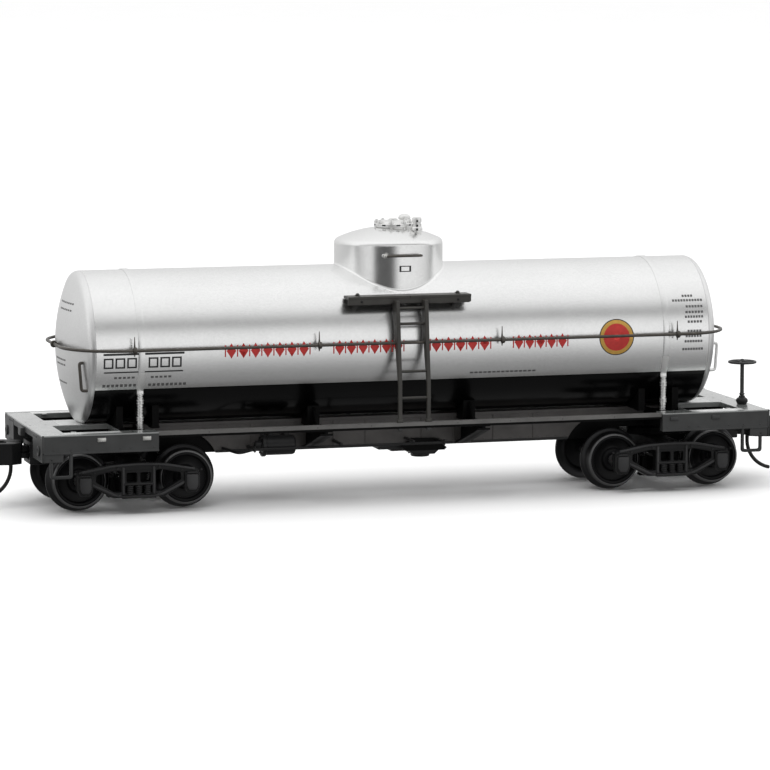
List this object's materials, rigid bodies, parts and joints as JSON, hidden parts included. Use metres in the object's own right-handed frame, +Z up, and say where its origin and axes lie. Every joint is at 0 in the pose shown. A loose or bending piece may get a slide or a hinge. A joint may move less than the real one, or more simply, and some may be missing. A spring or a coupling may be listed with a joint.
{
  "type": "model tank wagon",
  "caption": "Single-dome model tank wagon with silver and black tank, wrap-around handrail, ladders, swivelling trucks and knuckle couplers.",
  "frame": {"origin": "on the ground below the middle of the wagon, where the ground is the underside of the wheel flanges", "axes": "+X along the wagon towards the brake-wheel end, +Y across it, +Z up"},
  "size_m": [0.0814, 0.0194, 0.0279],
  "materials": {
    "tank_silver": "satin silver paint",
    "tank_black": "gloss black paint",
    "dome_silver": "bright silver paint",
    "band_silver": "silver paint on steel strap",
    "wire_dark": "dark wire",
    "plain_steel": "plain steel",
    "axle_steel": "turned steel",
    "wheel_black": "blackened metal, brighter on the rim",
    "truck_black": "satin black",
    "coupler_black": "satin black",
    "frame_grey": "satin dark grey",
    "fitting_grey": "satin dark grey"
  },
  "bodies": {
    "wagon": {"tank_upper": "tank_silver", "tank_lower": "tank_black", "tank_head_a": "tank_silver", "tank_head_b": "tank_silver", "tank_weight": "plain_steel", "dome_wall": "dome_silver", "dome_lid": "dome_silver", "manway_cover": "dome_silver", "safety_valves": "dome_silver", "grab_irons": "wire_dark", "tank_band_a": "band_silver", "tank_band_b": "band_silver", "handrail": "wire_dark", "handrail_stanchions": "wire_dark", "ladder_left": "fitting_grey", "ladder_right": "fitting_grey", "walkboard_left": "fitting_grey", "walkboard_right": "fitting_grey", "centre_sill": "frame_grey", "side_rails": "frame_grey", "end_platform_a": "frame_grey", "end_platform_b": "frame_grey", "body_bolsters": "frame_grey", "tank_saddles": "frame_grey", "crossbearers": "frame_grey", "stirrup_steps": "frame_grey", "kingpins": "plain_steel", "brake_cylinder": "fitting_grey", "air_reservoir": "fitting_grey", "brake_rods": "fitting_grey", "bottom_outlet": "fitting_grey", "brake_staff_foot": "fitting_grey"},
    "truck_a": {"truck_bolster_a": "truck_black", "side_frames_a": "truck_black", "brake_beams_a": "truck_black", "draft_box_a": "coupler_black"},
    "wheelset_a_outer": {"axle_a_outer": "axle_steel", "wheels_a_outer": "wheel_black"},
    "wheelset_a_inner": {"axle_a_inner": "axle_steel", "wheels_a_inner": "wheel_black"},
    "upper_coupler_a": {"coupler_a": "coupler_black", "trip_pin_a": "wire_dark", "knuckle_spring_a": "plain_steel"},
    "lower_coupler_a": {"knuckle_a": "coupler_black"},
    "truck_b": {"truck_bolster_b": "truck_black", "side_frames_b": "truck_black", "brake_beams_b": "truck_black", "draft_box_b": "coupler_black"},
    "wheelset_b_outer": {"axle_b_outer": "axle_steel", "wheels_b_outer": "wheel_black"},
    "wheelset_b_inner": {"axle_b_inner": "axle_steel", "wheels_b_inner": "wheel_black"},
    "upper_coupler_b": {"coupler_b": "coupler_black", "trip_pin_b": "wire_dark", "knuckle_spring_b": "plain_steel"},
    "lower_coupler_b": {"knuckle_b": "coupler_black"},
    "hand_brake": {"brake_staff": "fitting_grey", "brake_wheel": "fitting_grey"}
  },
  "joints": [
    {"name": "truck_a_swivel", "type": "hinge", "parent": "wagon", "child": "truck_a", "pos_m": [-0.02725, 0, 0.00447], "axis": [0, 0, 1], "range_deg": [-10, 10]},
    {"name": "wheelset_a_outer_spin", "type": "hinge", "parent": "truck_a", "child": "wheelset_a_outer", "pos_m": [-0.0325, 0, 0.00312], "axis": [0, 1, 0], "continuous": true},
    {"name": "wheelset_a_inner_spin", "type": "hinge", "parent": "truck_a", "child": "wheelset_a_inner", "pos_m": [-0.022, 0, 0.00312], "axis": [0, 1, 0], "continuous": true},
    {"name": "coupler_a_swing", "type": "hinge", "parent": "truck_a", "child": "upper_coupler_a", "pos_m": [-0.03465, 0, 0.00547], "axis": [0, 0, 1], "range_deg": [-10, 10]},
    {"name": "knuckle_a_open", "type": "hinge", "parent": "upper_coupler_a", "child": "lower_coupler_a", "pos_m": [-0.03465, 0, 0.00547], "axis": [0, 0, 1], "range_deg": [0, 6], "stiffness_Nm_per_rad": 0.0005},
    {"name": "truck_b_swivel", "type": "hinge", "parent": "wagon", "child": "truck_b", "pos_m": [0.02725, 0, 0.00447], "axis": [0, 0, 1], "range_deg": [-10, 10]},
    {"name": "wheelset_b_outer_spin", "type": "hinge", "parent": "truck_b", "child": "wheelset_b_outer", "pos_m": [0.0325, 0, 0.00312], "axis": [0, 1, 0], "continuous": true},
    {"name": "wheelset_b_inner_spin", "type": "hinge", "parent": "truck_b", "child": "wheelset_b_inner", "pos_m": [0.022, 0, 0.00312], "axis": [0, 1, 0], "continuous": true},
    {"name": "coupler_b_swing", "type": "hinge", "parent": "truck_b", "child": "upper_coupler_b", "pos_m": [0.03465, 0, 0.00547], "axis": [0, 0, 1], "range_deg": [-10, 10]},
    {"name": "knuckle_b_open", "type": "hinge", "parent": "upper_coupler_b", "child": "lower_coupler_b", "pos_m": [0.03465, 0, 0.00547], "axis": [0, 0, 1], "range_deg": [0, 6], "stiffness_Nm_per_rad": 0.0005},
    {"name": "hand_brake_turn", "type": "hinge", "parent": "wagon", "child": "hand_brake", "pos_m": [0.03595, -0.0045, 0.00947], "axis": [0, 0, 1], "continuous": true}
  ]
}
